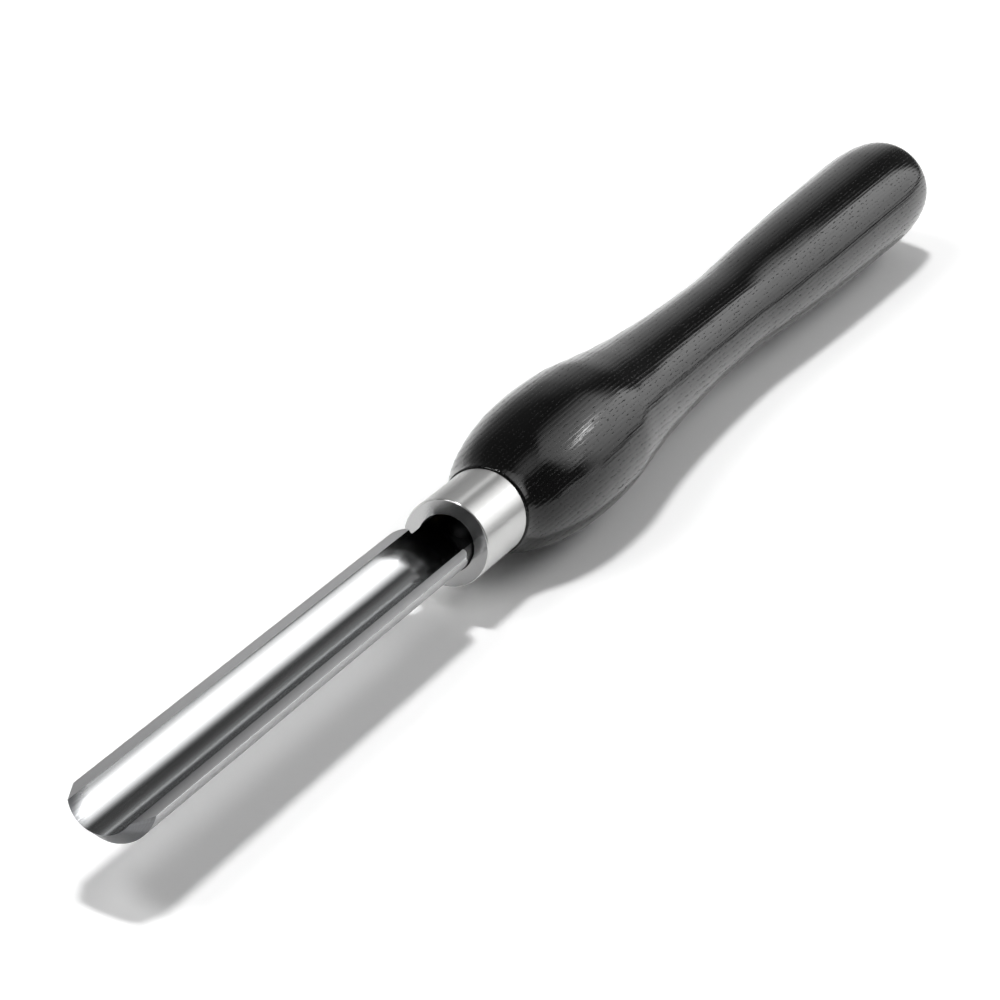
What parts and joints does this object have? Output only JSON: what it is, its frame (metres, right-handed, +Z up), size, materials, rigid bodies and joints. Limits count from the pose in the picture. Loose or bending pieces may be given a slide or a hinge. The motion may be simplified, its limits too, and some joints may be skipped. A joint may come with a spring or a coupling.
{
  "type": "spindle gouge",
  "caption": "Wood turner's spindle gouge with a fluted, square-ground steel blade, a bright steel ferrule and a long black-stained turned ash handle.",
  "frame": {"origin": "bottom centre of the bounding box: under the middle of the whole length, at the height of the lowest point of the handle's bulge", "axes": "+X along the tool's axis from the cutting edge to the butt, +Z up with the flute open upwards, +Y across the blade"},
  "size_m": [0.55, 0.0442, 0.0442],
  "materials": {
    "blade_steel": "high-speed steel, polished flute and outside, finely ground lands and bevel",
    "ferrule_steel": "turned and polished steel, satin front face",
    "handle_ash": "black-stained open-grain ash under gloss lacquer",
    "epoxy": "cured epoxy, hidden inside the handle"
  },
  "bodies": {
    "root": {"blade": "blade_steel", "ferrule": "ferrule_steel", "handle": "handle_ash", "tang_adhesive": "epoxy"}
  },
  "joints": []
}
